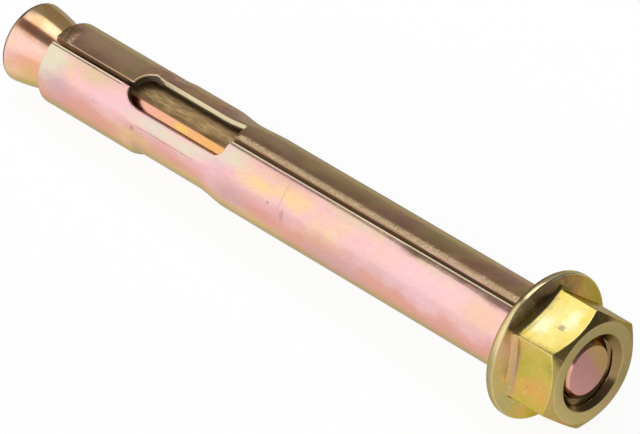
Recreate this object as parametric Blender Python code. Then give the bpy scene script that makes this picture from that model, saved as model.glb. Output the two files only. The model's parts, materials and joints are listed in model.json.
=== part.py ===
"""Sleeve anchor with a flanged hex nut, lying as it would come to rest.

Three pieces share one axis: a bolt with a flared cone at one end, a sleeve rolled from notched sheet
steel, and a hex nut with a flange that turns against the end of the sleeve. They are modelled along
local X of the empty named anchor_axis, with X = 0 at the mouth of the sleeve and X growing towards
the nut. Angles round the axis are measured from straight up, towards -Y. The empty is tilted so that
the anchor lies on the rim of its cone and the rim of its flange.
"""

import math

import bmesh
import bpy
from mathutils import Vector

# Sleeve, a strip rolled round the bolt
SLEEVE_LENGTH = 0.0740
SLEEVE_DIAMETER = 0.0101
SLEEVE_WALL = 0.0008
SLEEVE_EDGE_CHAMFER = 0.0002
SEAM_GAP_AT_MOUTH = 0.0006
SEAM_GAP_AT_FLANGE = 0.0004
SEAM_ANGLE = math.radians(18.0)
MOUTH_SEAM_SHIFT = math.radians(6.0)

# Window that the two notched edges of the strip leave between them
WINDOW_START = 0.0128
WINDOW_LENGTH = 0.0160
WINDOW_WIDTH = 0.0054
WINDOW_MOUTH_RADIUS = 0.0024
WINDOW_NUT_RADIUS = 0.0012

# Pinched waist, pressed flatter by three jaws between three creases that end in a slight neck
WAIST_START = 0.0139
WAIST_LENGTH = 0.0154
WAIST_MOUTH_RAMP = 0.0010
WAIST_NUT_RAMP = 0.0046
PANEL_DEPTH = 0.00047
CREASE_COUNT = 3
CREASE_ANGLE = math.radians(68.0)
CREASE_START = 0.0150
CREASE_LENGTH = 0.0115
CREASE_RAMP = 0.0025
CREASE_RISE = 0.00015
NECK_POSITION = 0.0283
NECK_LENGTH = 0.0076
NECK_DEPTH = 0.00020

# Bolt
BOLT_SHANK_DIAMETER = 0.0069
THREAD_DIAMETER = 0.0079
THREAD_START = 0.0469
THREAD_RUNOUT = 0.0005
THREAD_END_CHAMFER = 0.0006
CONE_PROTRUSION = 0.0062
CONE_DIAMETER = 0.0098
CONE_LAND = 0.0012
CONE_END_RADIUS = 0.0003
CONE_SHOULDER_RADIUS = 0.0060
CONE_HALF_ANGLE = math.radians(17.0)

# Nut
NUT_HEIGHT = 0.0078
NUT_ACROSS_FLATS = 0.0128
NUT_BORE_CLEARANCE = 0.0003
NUT_CORNER_ANGLE = math.radians(47.1)
NUT_FACE_DIAMETER = 0.0121
NUT_CHAMFER_ANGLE = math.radians(35.0)
COUNTERSINK_DIAMETER = 0.0093
BEARING_COUNTERSINK_DIAMETER = 0.0088
BEARING_DISH_DIAMETER = 0.0120
BEARING_DISH_ANGLE = math.radians(1.0)
COUNTERSINK_ANGLE = math.radians(45.0)
FLANGE_DIAMETER = 0.0174
FLANGE_THICKNESS = 0.0011
FLANGE_UNDER_RADIUS = 0.0005
FLANGE_TOP_RADIUS = 0.0002
FLANGE_SLOPE = math.radians(20.0)
FLANGE_FILLET_RADIUS = 0.0008
BOLT_END_RECESS = 0.0007

# Gap kept where two pieces touch
SEAT_GAP = 0.0003

# Facets round the axis; one of them faces straight down on the bolt and on the nut
ROUND_FACETS = 48
LIP_COLUMNS = 6
PANEL_COLUMNS = 18
ARC_STEPS = 4

SLEEVE_RADIUS = SLEEVE_DIAMETER / 2
BEARING_FACE = SLEEVE_LENGTH + SEAT_GAP
NUT_END = BEARING_FACE + NUT_HEIGHT
BOLT_END = NUT_END - BOLT_END_RECESS
FACET_STEP = 2 * math.pi / ROUND_FACETS
PANEL_ANGLE = 2 * math.pi / CREASE_COUNT
HEX_STEP = math.pi / 3


def arc(centre, radius, start, end, steps=ARC_STEPS):
    """Points (x, r) along an arc in the plane through the axis, both ends included."""
    points = []
    for i in range(steps + 1):
        angle = start + (end - start) * i / steps
        points.append((centre[0] + radius * math.cos(angle), centre[1] + radius * math.sin(angle)))
    return points


def smooth(value):
    """Ease from 0 to 1 while value goes from 0 to 1."""
    value = min(max(value, 0.0), 1.0)
    return value * value * (3 - 2 * value)


def on_axis(x, radius, angle):
    """A point at this radius and angle round the axis."""
    return Vector((x, -radius * math.sin(angle), radius * math.cos(angle)))


def skin_rings(bm, rings, closed_loop, closed_rings):
    """Quads between rings of vertices; a ring or the row of rings may close on itself."""
    rows = len(rings) if closed_loop else len(rings) - 1
    columns = len(rings[0]) if closed_rings else len(rings[0]) - 1
    for i in range(rows):
        ring = rings[i]
        following = rings[(i + 1) % len(rings)]
        for j in range(columns):
            k = (j + 1) % len(ring)
            bm.faces.new((ring[j], ring[k], following[k], following[j]))


def finish_object(name, bm, parent, material, sharp_angle):
    """One named object from the mesh, with outward faces, smooth except over sharp edges."""
    bmesh.ops.recalc_face_normals(bm, faces=bm.faces)
    mesh = bpy.data.meshes.new(name)
    bm.to_mesh(mesh)
    bm.free()
    mesh.shade_smooth()
    mesh.set_sharp_from_angle(angle=sharp_angle)
    mesh.materials.append(material)
    piece = bpy.data.objects.new(name, mesh)
    piece.parent = parent
    bpy.context.scene.collection.objects.link(piece)
    return piece


def plated_steel(name, colour, roughness):
    """Yellow-passivated zinc plating on steel."""
    material = bpy.data.materials.new(name)
    material.use_nodes = True
    shader = material.node_tree.nodes["Principled BSDF"]
    shader.inputs["Base Color"].default_value = (*colour, 1.0)
    shader.inputs["Metallic"].default_value = 1.0
    shader.inputs["Roughness"].default_value = roughness
    return material


def seam_gap(x):
    """Width of the seam, which closes towards the flange."""
    return SEAM_GAP_AT_MOUTH + (SEAM_GAP_AT_FLANGE - SEAM_GAP_AT_MOUTH) * x / SLEEVE_LENGTH


def lip_path(side):
    """Edge of the rolled strip as (x, angle), from mouth to flange; side is 1 or -1."""

    def at(x, centre, half_width):
        return (x, centre + side * half_width / SLEEVE_RADIUS)

    start = WINDOW_START
    end = WINDOW_START + WINDOW_LENGTH
    half = WINDOW_WIDTH / 2
    mouth_centre = SEAM_ANGLE + MOUTH_SEAM_SHIFT
    path = []
    for x in (0.0, SLEEVE_EDGE_CHAMFER, start / 2, start):
        path.append(at(x, mouth_centre, seam_gap(x) / 2))
    seam_side = path[-1][1]
    window_side = at(start, SEAM_ANGLE, half)[1]
    for i in range(1, ARC_STEPS + 1):
        turn = math.pi / 2 * i / ARC_STEPS
        x = start + WINDOW_MOUTH_RADIUS * (1 - math.cos(turn))
        path.append((x, seam_side + (window_side - seam_side) * math.sin(turn)))
    straight = end - WINDOW_NUT_RADIUS - path[-1][0]
    first = path[-1][0]
    for i in range(1, 5):
        path.append(at(first + straight * i / 5, SEAM_ANGLE, half))
    for i in range(ARC_STEPS + 1):
        turn = math.pi / 2 * i / ARC_STEPS
        x = end - WINDOW_NUT_RADIUS * (1 - math.sin(turn))
        path.append(at(x, SEAM_ANGLE, half - WINDOW_NUT_RADIUS * (1 - math.cos(turn))))
    tail = SLEEVE_LENGTH - SLEEVE_EDGE_CHAMFER - end
    for i in range(4):
        x = end + tail * i / 3
        path.append(at(x, SEAM_ANGLE, seam_gap(x) / 2))
    path.append(at(SLEEVE_LENGTH, SEAM_ANGLE, seam_gap(SLEEVE_LENGTH) / 2))
    return path


def spread_rows(path):
    """Where each row of the strip crosses the far side, so that rows crowd only at the window."""
    count = len(path)
    rows = [point[0] for point in path]
    window = [i for i in range(count) if WINDOW_START <= rows[i] <= WINDOW_START + WINDOW_LENGTH]
    first = window[0]
    last = window[-1]
    low = WINDOW_START - WAIST_MOUTH_RAMP
    high = max(WAIST_START + WAIST_LENGTH, WINDOW_START + WINDOW_LENGTH) + WAIST_MOUTH_RAMP
    for i in window:
        rows[i] = low + (high - low) * (i - first) / (last - first)
    return rows


def waist_offset(x, angle):
    """How far the sleeve stands out of its round form at this place."""
    rise = smooth((x - WAIST_START) / WAIST_MOUTH_RAMP)
    fall = smooth((WAIST_START + WAIST_LENGTH - x) / WAIST_NUT_RAMP)
    crease_rise = smooth((x - CREASE_START) / CREASE_RAMP)
    crease_fall = smooth((CREASE_START + CREASE_LENGTH - x) / CREASE_RAMP)
    neck = smooth(1 - abs(x - NECK_POSITION) / (NECK_LENGTH / 2))
    crease = CREASE_RISE * crease_rise * crease_fall - NECK_DEPTH * neck
    panel = -PANEL_DEPTH * rise * fall
    across = 2 * ((angle - CREASE_ANGLE) / PANEL_ANGLE % 1.0) - 1
    return panel + (crease - panel) * across * across


def strip_columns(low, high):
    """Angles of one row of the strip, from its lower lip the long way round to its upper lip."""
    creases = [CREASE_ANGLE + i * PANEL_ANGLE for i in range(CREASE_COUNT)]
    angles = []
    for i in range(LIP_COLUMNS):
        angles.append(low + (creases[0] - low) * i / LIP_COLUMNS)
    for crease in creases[:-1]:
        for i in range(PANEL_COLUMNS):
            angles.append(crease + PANEL_ANGLE * i / PANEL_COLUMNS)
    for i in range(LIP_COLUMNS + 1):
        angles.append(creases[-1] + (high - creases[-1]) * i / LIP_COLUMNS)
    return angles


def make_sleeve(parent):
    """The rolled strip, its two lips meeting at the seam and parting round the window."""
    lower_lip = lip_path(1)
    upper_lip = lip_path(-1)
    far_side = spread_rows(lower_lip)
    bm = bmesh.new()
    rings = []
    for row in range(len(lower_lip)):
        at_end = row in (0, len(lower_lip) - 1)
        angles = strip_columns(lower_lip[row][1], upper_lip[row][1] + 2 * math.pi)
        outer = []
        inner = []
        for column, angle in enumerate(angles):
            from_lip = min(column, len(angles) - 1 - column) / LIP_COLUMNS
            away = smooth(from_lip / 2)
            x = lower_lip[row][0] * (1 - away) + far_side[row] * away
            radius = SLEEVE_RADIUS + waist_offset(x, angle)
            chamfer = SLEEVE_EDGE_CHAMFER if at_end else 0.0
            outer.append(bm.verts.new(on_axis(x, radius - chamfer, angle)))
            inner.append(bm.verts.new(on_axis(x, radius - SLEEVE_WALL + chamfer, angle)))
        rings.append(outer + inner[::-1])
    skin_rings(bm, rings, closed_loop=False, closed_rings=True)
    half = len(rings[0]) // 2
    for ring in (rings[0], rings[-1]):
        for j in range(half - 1):
            bm.faces.new((ring[j], ring[j + 1], ring[2 * half - 2 - j], ring[2 * half - 1 - j]))
    colour = (0.80, 0.50, 0.36)
    return finish_object("expansion_sleeve", bm, parent, plated_steel("sleeve_plating", colour, 0.28),
                         math.radians(30))


def facet_edges():
    """Angles of the edges between the facets of a round face."""
    return [(i + 0.5) * FACET_STEP for i in range(ROUND_FACETS)]


def turned_piece(profile_at, angles):
    """Mesh of a piece with a bore, from the closed (x, r) outline at each of these angles."""
    bm = bmesh.new()
    rings = []
    for angle in angles:
        rings.append([bm.verts.new(on_axis(x, radius, angle)) for x, radius in profile_at(angle)])
    skin_rings(bm, rings, closed_loop=True, closed_rings=True)
    return bm


def solid_turned_piece(profile):
    """Mesh of a piece without a bore, from an (x, r) outline whose two ends are capped flat."""
    bm = bmesh.new()
    rings = []
    for x, radius in profile:
        rings.append([bm.verts.new(on_axis(x, radius, angle)) for angle in facet_edges()])
    skin_rings(bm, rings, closed_loop=False, closed_rings=True)
    bm.faces.new(rings[0])
    bm.faces.new(rings[-1])
    return bm


def make_bolt(parent):
    """Flared cone, plain shank and the threaded length, as a cylinder over the thread's crests."""
    cone = CONE_DIAMETER / 2
    shank = BOLT_SHANK_DIAMETER / 2
    thread = THREAD_DIAMETER / 2
    end = -CONE_PROTRUSION
    profile = arc((end + CONE_END_RADIUS, cone - CONE_END_RADIUS), CONE_END_RADIUS, math.pi, math.pi / 2)
    shoulder = end + CONE_LAND
    blend = arc((shoulder, cone - CONE_SHOULDER_RADIUS), CONE_SHOULDER_RADIUS,
                math.pi / 2, math.pi / 2 - CONE_HALF_ANGLE)
    profile += blend
    taper_start, taper_radius = blend[-1]
    profile.append((taper_start + (taper_radius - shank) / math.tan(CONE_HALF_ANGLE), shank))
    profile.append((THREAD_START - THREAD_RUNOUT, shank))
    profile.append((THREAD_START, thread))
    profile.append((BOLT_END - THREAD_END_CHAMFER, thread))
    profile.append((BOLT_END, thread - THREAD_END_CHAMFER))
    colour = (0.82, 0.48, 0.30)
    return finish_object("cone_bolt", solid_turned_piece(profile), parent,
                         plated_steel("bolt_plating", colour, 0.30), math.radians(30))


def hex_radius(angle):
    """Distance from the axis to the hexagon at an angle round it."""
    turn = math.remainder(angle - NUT_CORNER_ANGLE, HEX_STEP)
    return NUT_ACROSS_FLATS / 2 / math.cos(HEX_STEP / 2 - abs(turn))


def hex_facet_edges():
    """Facet edges, with the one nearest each corner of the hexagon moved onto it."""
    angles = []
    for angle in facet_edges():
        turn = math.remainder(angle - NUT_CORNER_ANGLE, HEX_STEP)
        angles.append(angle - turn if abs(turn) < FACET_STEP / 2 else angle)
    return angles


def nut_profile(angle):
    """Closed (x, r) outline of the nut in the plane at this angle.

    The bearing face is dished inside the ring that bears on the fastened plate, as on any flange nut.
    """
    bore = THREAD_DIAMETER / 2 + NUT_BORE_CLEARANCE
    flange = FLANGE_DIAMETER / 2
    side = hex_radius(angle)
    face = NUT_FACE_DIAMETER / 2
    mouth = COUNTERSINK_DIAMETER / 2
    sink = (mouth - bore) / math.tan(COUNTERSINK_ANGLE)
    bearing_mouth = BEARING_COUNTERSINK_DIAMETER / 2
    bearing_sink = (bearing_mouth - bore) / math.tan(COUNTERSINK_ANGLE)
    dish_edge = BEARING_DISH_DIAMETER / 2
    dish_floor = BEARING_FACE + (dish_edge - bearing_mouth) * math.tan(BEARING_DISH_ANGLE)
    rim_top = BEARING_FACE + FLANGE_THICKNESS
    slope_radius = flange - FLANGE_TOP_RADIUS * (1 - math.sin(FLANGE_SLOPE))
    slope_start = rim_top - FLANGE_TOP_RADIUS * (1 - math.cos(FLANGE_SLOPE))
    fillet = FLANGE_FILLET_RADIUS
    fillet_radius = side + fillet
    fillet_x = slope_start + (slope_radius - fillet_radius) * math.tan(FLANGE_SLOPE)
    fillet_x += fillet / math.cos(FLANGE_SLOPE)
    profile = [(dish_floor + bearing_sink, bore), (dish_floor, bearing_mouth), (BEARING_FACE, dish_edge)]
    profile += arc((BEARING_FACE + FLANGE_UNDER_RADIUS, flange - FLANGE_UNDER_RADIUS),
                   FLANGE_UNDER_RADIUS, math.pi, math.pi / 2)
    profile += arc((rim_top - FLANGE_TOP_RADIUS, flange - FLANGE_TOP_RADIUS),
                   FLANGE_TOP_RADIUS, math.pi / 2, FLANGE_SLOPE, 2)
    profile += arc((fillet_x, fillet_radius), fillet,
                   math.pi + FLANGE_SLOPE, 3 * math.pi / 2, 3)
    profile.append((NUT_END - (side - face) * math.tan(NUT_CHAMFER_ANGLE), side))
    profile.append((NUT_END, face))
    profile.append((NUT_END, mouth))
    profile.append((NUT_END - sink, bore))
    return profile


def make_nut(parent):
    """Hex nut with its flange, chamfered on the end face and countersunk at both ends of the bore."""
    colour = (0.78, 0.62, 0.26)
    return finish_object("flange_nut", turned_piece(nut_profile, hex_facet_edges()), parent,
                         plated_steel("nut_plating", colour, 0.28), math.radians(25))


def resting_tilt():
    """Angle between the floor and the axis, which no edge below the line through the flange cuts."""
    down = math.cos(FACET_STEP / 2)
    flange_x = BEARING_FACE + FLANGE_UNDER_RADIUS
    flange_radius = FLANGE_DIAMETER / 2 * down
    others = [(CONE_END_RADIUS - CONE_PROTRUSION, CONE_DIAMETER / 2 * down),
              (SLEEVE_EDGE_CHAMFER, SLEEVE_RADIUS)]
    return math.atan(min((flange_radius - radius) / (flange_x - x) for x, radius in others))


def stand_on_floor(axis, pieces):
    """Moves the empty so that the middle of the anchor's underside is at the origin."""
    bpy.context.view_layer.update()
    corners = [piece.matrix_world @ vertex.co for piece in pieces for vertex in piece.data.vertices]
    low = Vector([min(corner[i] for corner in corners) for i in range(3)])
    high = Vector([max(corner[i] for corner in corners) for i in range(3)])
    axis.location -= Vector(((low.x + high.x) / 2, (low.y + high.y) / 2, low.z))


def main():
    for old in list(bpy.data.objects):
        bpy.data.objects.remove(old, do_unlink=True)
    axis = bpy.data.objects.new("anchor_axis", None)
    axis.rotation_euler = (0.0, -resting_tilt(), 0.0)
    bpy.context.scene.collection.objects.link(axis)
    pieces = [make_bolt(axis), make_sleeve(axis), make_nut(axis)]
    stand_on_floor(axis, pieces)


main()
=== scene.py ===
"""Looks of a sleeve anchor in yellow-passivated zinc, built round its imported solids.

The three pieces are remodelled in a frame on the axis of the solids: X runs along the anchor from the
mouth of the sleeve to the nut, and angles round it are measured from straight up, towards -Y. Their
meshes are then laid in world coordinates, as the solids are. All sizes are in metres.
"""

import json
from math import atan2, ceil, cos, hypot, pi, radians, sin, sqrt, tan

import bmesh
import bpy
import numpy as np
from mathutils import Matrix, Vector
from mathutils.geometry import delaunay_2d_cdt


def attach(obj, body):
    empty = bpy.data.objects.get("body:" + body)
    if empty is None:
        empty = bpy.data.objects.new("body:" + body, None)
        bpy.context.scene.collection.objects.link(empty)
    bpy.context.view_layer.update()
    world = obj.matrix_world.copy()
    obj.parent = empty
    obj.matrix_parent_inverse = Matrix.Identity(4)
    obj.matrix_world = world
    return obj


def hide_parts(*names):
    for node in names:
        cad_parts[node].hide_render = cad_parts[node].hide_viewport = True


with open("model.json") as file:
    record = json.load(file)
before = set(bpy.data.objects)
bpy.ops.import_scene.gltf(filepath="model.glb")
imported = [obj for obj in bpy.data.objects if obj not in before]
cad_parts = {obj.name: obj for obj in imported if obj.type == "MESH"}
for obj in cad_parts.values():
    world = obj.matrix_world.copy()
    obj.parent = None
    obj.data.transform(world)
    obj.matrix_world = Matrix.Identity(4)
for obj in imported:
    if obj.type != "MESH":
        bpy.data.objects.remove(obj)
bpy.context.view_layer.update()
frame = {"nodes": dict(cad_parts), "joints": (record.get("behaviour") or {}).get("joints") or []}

MM = 0.001
SOLID_FACETS = 48

# Camera, from the outline of the anchor in the photograph
CAMERA_AZIMUTH = radians(45.6)
CAMERA_ELEVATION = radians(39.2)
CAMERA_DISTANCE = 0.730
CAMERA_LENS = 372.4
CAMERA_SENSOR = 36.0
CAMERA_CLIP = 0.01
CENTRE_HEIGHT = 8.6 * MM
AIM_RIGHT = 1.79 * MM
AIM_DOWN = 2.96 * MM

# Sleeve, a strip rolled round the bolt
SLEEVE_RADIUS = 5.05 * MM
SLEEVE_WALL = 0.8 * MM
SEAM_GAP_AT_MOUTH = 0.6 * MM
SEAM_GAP_AT_FLANGE = 0.4 * MM
SEAM_ANGLE = radians(18.0)
MOUTH_SEAM_SHIFT = radians(6.0)
WINDOW_START = 12.8 * MM
WINDOW_LENGTH = 15.75 * MM
WINDOW_WIDTH = 5.4 * MM
WINDOW_MOUTH_RADIUS = 2.4 * MM
WINDOW_NUT_RADIUS = 1.2 * MM
WINDOW_UPPER_NUT_RADIUS = 0.35 * MM
WINDOW_UPPER_SHORTER = 0.25 * MM

# Pinched waist of the sleeve
WAIST_START = 13.9 * MM
WAIST_LENGTH = 15.4 * MM
WAIST_MOUTH_RAMP = 1.0 * MM
WAIST_NUT_RAMP = 4.6 * MM
PANEL_DEPTH = 0.47 * MM
PANEL_ANGLE = radians(120.0)
CREASE_ANGLE = radians(68.0)
CREASE_START = 15.0 * MM
CREASE_LENGTH = 11.5 * MM
CREASE_RAMP = 2.5 * MM
CREASE_RISE = 0.15 * MM
NECK_POSITION = 28.3 * MM
NECK_LENGTH = 7.6 * MM
NECK_DEPTH = 0.20 * MM

# Bolt
SHANK_RADIUS = 3.45 * MM
THREAD_START = 46.9 * MM
THREAD_PITCH = 1.25 * MM
THREAD_CREST_RADIUS = 3.94 * MM
THREAD_ROOT_RADIUS = 3.30 * MM
THREAD_END_CHAMFER = 1.0 * MM
CONE_END_RADIUS = 0.3 * MM
CONE_END_ANGLE = radians(7.0)
CONE_HALF_ANGLE = radians(15.5)
CONE_FLARE_LENGTH = 4.7 * MM

# Nut
NUT_RADIUS = 6.4 * MM
NUT_CORNER_ANGLE = radians(47.1)
NUT_CORNER_RADIUS = 0.40 * MM
NUT_FACE_RADIUS = 6.05 * MM
NUT_CHAMFER_ANGLE = radians(35.0)
NUT_EDGE_RADIUS = 0.22 * MM
COUNTERSINK_RADIUS = 4.65 * MM
BEARING_COUNTERSINK_RADIUS = 4.40 * MM
BEARING_DISH_RADIUS = 6.0 * MM
BEARING_DISH_ANGLE = radians(1.0)
NUT_THREAD_MINOR_RADIUS = 3.42 * MM
NUT_THREAD_MAJOR_RADIUS = 4.10 * MM
FLANGE_THICKNESS = 1.1 * MM
FLANGE_UNDER_RADIUS = 0.5 * MM
FLANGE_TOP_RADIUS = 0.2 * MM
FLANGE_SLOPE = radians(20.0)
FLANGE_FILLET_RADIUS = 0.8 * MM


def axis_matrix():
    """Frame of the anchor's axis, from the hinge between nut and sleeve."""
    hinge = next(joint for joint in frame["joints"] if joint["name"] == "nut_turn")
    along = Vector(hinge["axis"]).normalized()
    across = Vector((0.0, 1.0, 0.0))
    up = along.cross(across)
    matrix = Matrix((along, across, up)).transposed().to_4x4()
    matrix.translation = Vector(hinge["pos_m"])
    return matrix


AXIS = axis_matrix()
TO_AXIS = AXIS.inverted()


def solid_reach(node):
    """Lowest and highest place along the axis, and the largest radius, of a solid."""
    points = [TO_AXIS @ vertex.co for vertex in frame["nodes"][node].data.vertices]
    places = [point.x for point in points]
    return min(places), max(places), max(hypot(point.y, point.z) for point in points)


MERGE_DISTANCE = 0.002 * MM
SHARP_ANGLE = radians(40.0)
INSCRIBED = cos(pi / SOLID_FACETS)
CONE_END, BOLT_END, cone_rim = solid_reach("cone_bolt")
BEARING_FACE, NUT_END, flange_rim = solid_reach("flange_nut")
SLEEVE_LENGTH = solid_reach("expansion_sleeve")[1]
CONE_RADIUS = cone_rim * INSCRIBED
FLANGE_RADIUS = flange_rim * INSCRIBED
FLANGE_TOP = BEARING_FACE + FLANGE_THICKNESS
BEARING_DISH = (BEARING_DISH_RADIUS - BEARING_COUNTERSINK_RADIUS) * tan(BEARING_DISH_ANGLE)
NUT_THREAD_START = BEARING_FACE + BEARING_DISH + BEARING_COUNTERSINK_RADIUS - NUT_THREAD_MAJOR_RADIUS
NUT_THREAD_END = NUT_END - COUNTERSINK_RADIUS + NUT_THREAD_MAJOR_RADIUS


def smooth(value):
    """Ease from 0 to 1 while value goes from 0 to 1, for one number or an array."""
    value = np.clip(value, 0.0, 1.0)
    return value * value * (3 - 2 * value)


def bump(distance, reach):
    """Rounded hump, 1 at no distance and 0 from this reach on."""
    return smooth(1 - np.abs(distance) / reach)


def stretch(x, start, length, ramp_up, ramp_down):
    """1 along a stretch of the anchor, easing from 0 and back to 0 within it."""
    return smooth((x - start) / ramp_up) * smooth((start + length - x) / ramp_down)


def on_axis(x, radius, angle):
    """Points at these radii and angles round the axis, as rows of three."""
    x, radius, angle = np.broadcast_arrays(x, radius, angle)
    return np.stack([x, -radius * np.sin(angle), radius * np.cos(angle)], axis=-1)


def arc(centre, radius, start, end, steps=6):
    """Points (x, r) along an arc in the plane through the axis, both ends included."""
    turns = np.linspace(start, end, steps + 1)
    return [(centre[0] + radius * cos(t), centre[1] + radius * sin(t)) for t in turns]


def add_object(name, data):
    """An object in the scene that shows this mesh, light or camera."""
    made = bpy.data.objects.new(name, data)
    bpy.context.scene.collection.objects.link(made)
    return made


def make_piece(name, points, faces, body, node, slot, material, **marks):
    """One piece that stands for a solid, from points in the frame of the axis and faces.

    Each mark is a value per point that its material reads.
    """
    placed = points @ np.array(AXIS.to_3x3()).T + np.array(AXIS.translation)
    mesh = bpy.data.meshes.new(name)
    mesh.from_pydata(placed.tolist(), [], faces)
    for mark, values in marks.items():
        mesh.attributes.new(mark, "FLOAT", "POINT").data.foreach_set("value", np.asarray(values, np.float32))
    bm = bmesh.new()
    bm.from_mesh(mesh)
    bmesh.ops.remove_doubles(bm, verts=bm.verts, dist=MERGE_DISTANCE)
    bmesh.ops.recalc_face_normals(bm, faces=bm.faces)
    bm.to_mesh(mesh)
    bm.free()
    mesh.shade_smooth()
    mesh.set_sharp_from_angle(angle=SHARP_ANGLE)
    mesh.materials.append(material)
    piece = add_object(name, mesh)
    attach(piece, body)
    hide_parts(node)


def grid_faces(rows, columns, close_rows=False, close_columns=False):
    """Quads of a grid of points numbered row by row."""
    faces = []
    for i in range(rows if close_rows else rows - 1):
        k = (i + 1) % rows
        for j in range(columns if close_columns else columns - 1):
            m = (j + 1) % columns
            faces.append((i * columns + j, i * columns + m, k * columns + m, k * columns + j))
    return faces


# Sleeve
OUTLINE_STEP = 0.15 * MM
CORNER_SMOOTHING = 0.16 * MM
EDGE_RADIUS = 0.13 * MM
EDGE_STEPS = 4
EDGE_BAND = 0.05 * MM
LIP_ROWS = np.array([0.06, 0.12, 0.18, 0.26, 0.35, 0.46, 0.58, 0.72]) * MM
ROW_MARGIN = 0.045 * MM
GRID_ALONG = 0.40 * MM
GRID_ROUND = 0.30 * MM
GRID_MARGIN = 0.82 * MM
CREASE_MARGIN = 0.09 * MM
CREASE_LINES = np.array([-0.24, -0.15, -0.08, 0.0, 0.08, 0.15, 0.24]) * MM
CREASES = [(CREASE_ANGLE + i * PANEL_ANGLE) * SLEEVE_RADIUS for i in range(3)]
WINDOW_END = WINDOW_START + WINDOW_LENGTH
WINDOW_MOUTH_POINTS = 24
WINDOW_NUT_POINTS = 16


def seam_gap(x):
    """Width of the seam, which closes towards the flange."""
    return SEAM_GAP_AT_MOUTH + (SEAM_GAP_AT_FLANGE - SEAM_GAP_AT_MOUTH) * x / SLEEVE_LENGTH


def lip_path(side):
    """Edge of the flat strip as (x, distance round), from mouth to flange; side is 1 or -1."""
    mouth_seam = (SEAM_ANGLE + MOUTH_SEAM_SHIFT) * SLEEVE_RADIUS
    seam = SEAM_ANGLE * SLEEVE_RADIUS
    half = WINDOW_WIDTH / 2
    points = [(0.0, mouth_seam + side * seam_gap(0.0) / 2)]
    seam_side = mouth_seam + side * seam_gap(WINDOW_START) / 2
    window_side = seam + side * half
    corner, radius = WINDOW_END, WINDOW_NUT_RADIUS
    if side < 0:
        corner, radius = WINDOW_END - WINDOW_UPPER_SHORTER, WINDOW_UPPER_NUT_RADIUS
    for turn in np.linspace(0.0, pi / 2, WINDOW_MOUTH_POINTS):
        x = WINDOW_START + WINDOW_MOUTH_RADIUS * (1 - cos(turn))
        points.append((x, seam_side + (window_side - seam_side) * sin(turn)))
    for turn in np.linspace(0.0, pi / 2, WINDOW_NUT_POINTS):
        x = corner - radius * (1 - sin(turn))
        points.append((x, seam + side * (half - radius * (1 - cos(turn)))))
    points += [(x, seam + side * seam_gap(x) / 2) for x in (WINDOW_END, SLEEVE_LENGTH)]
    return np.array(points)


def evenly(points, step):
    """A closed outline with its points spread evenly, about this step apart."""
    closed = np.vstack([points, points[:1]])
    lengths = np.concatenate([[0.0], np.cumsum(np.linalg.norm(np.diff(closed, axis=0), axis=1))])
    places = np.linspace(0.0, lengths[-1], int(lengths[-1] / step) + 1)[:-1]
    return np.stack([np.interp(places, lengths, closed[:, i]) for i in (0, 1)], axis=-1)


def strip_outline():
    """Outline of the flat strip, with its corners slightly rounded."""
    lower = lip_path(1)
    upper = lip_path(-1) + (0.0, 2 * pi * SLEEVE_RADIUS)
    fine = evenly(np.vstack([lower, upper[::-1]]), OUTLINE_STEP / 4)
    reach = int(CORNER_SMOOTHING / (OUTLINE_STEP / 4))
    for _ in range(2):
        fine = sum(np.roll(fine, shift, axis=0) for shift in range(-reach, reach + 1)) / (2 * reach + 1)
    return evenly(fine, OUTLINE_STEP)


def inward(outline):
    """Unit vectors pointing into the strip at each point of its outline."""
    along = np.roll(outline, -1, axis=0) - np.roll(outline, 1, axis=0)
    along /= np.linalg.norm(along, axis=1)[:, None]
    return np.stack([-along[:, 1], along[:, 0]], axis=-1)


def inside(points, outline, margin):
    """Which points lie inside an outline and clear of it by this margin."""
    within = np.zeros(len(points), bool)
    following = np.roll(outline, -1, axis=0)
    for (x0, s0), (x1, s1) in zip(outline, following):
        crosses = (s0 > points[:, 1]) != (s1 > points[:, 1])
        if s0 != s1:
            within ^= crosses & (points[:, 0] < x0 + (x1 - x0) * (points[:, 1] - s0) / (s1 - s0))
    nearest = np.full(len(points), np.inf)
    for corner in outline:
        nearest = np.minimum(nearest, np.sum((points - corner) ** 2, axis=1))
    return within & (nearest > margin**2)


def lip_rows(ring, normals):
    """Points in rows beside the strip's edge, without any that crowd another."""
    taken = set()
    kept = []
    for distance in LIP_ROWS:
        for point in ring + normals * distance:
            cell = tuple(int(value) for value in point // ROW_MARGIN)
            around = {(cell[0] + i, cell[1] + j) for i in (-1, 0, 1) for j in (-1, 0, 1)}
            if not around & taken:
                taken.add(cell)
                kept.append(point)
    kept = np.array(kept)
    return kept[inside(kept, ring, ROW_MARGIN)]


def strip_fill(ring, normals):
    """Points inside the innermost ring of the strip's edge, and the triangles that fill it."""
    places, rounds = (
        np.linspace(values.min(), values.max(), int(np.ptp(values) / step))
        for values, step in zip(ring.T, (GRID_ALONG, GRID_ROUND)))
    lines = [crease + shift for crease in CREASES for shift in CREASE_LINES]
    clear = [s for s in rounds if min(abs(s - line) for line in lines) > CREASE_MARGIN]
    rounds = np.sort(np.concatenate([clear, lines]))
    grid = np.stack(np.meshgrid(places, rounds), axis=-1).reshape(-1, 2)
    grid = np.vstack([lip_rows(ring, normals), grid[inside(grid, ring, GRID_MARGIN)]])
    points = np.vstack([ring, grid])
    made = delaunay_2d_cdt([Vector(point / MM) for point in points], [], [range(len(ring))], 1, 1e-6)
    if len(made[0]) != len(points):
        print("strip fill changed the number of points", len(points), len(made[0]))
    origins = [origin[0] for origin in made[3]]
    return grid, [tuple(origins[i] for i in face) for face in made[2]]


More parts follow.
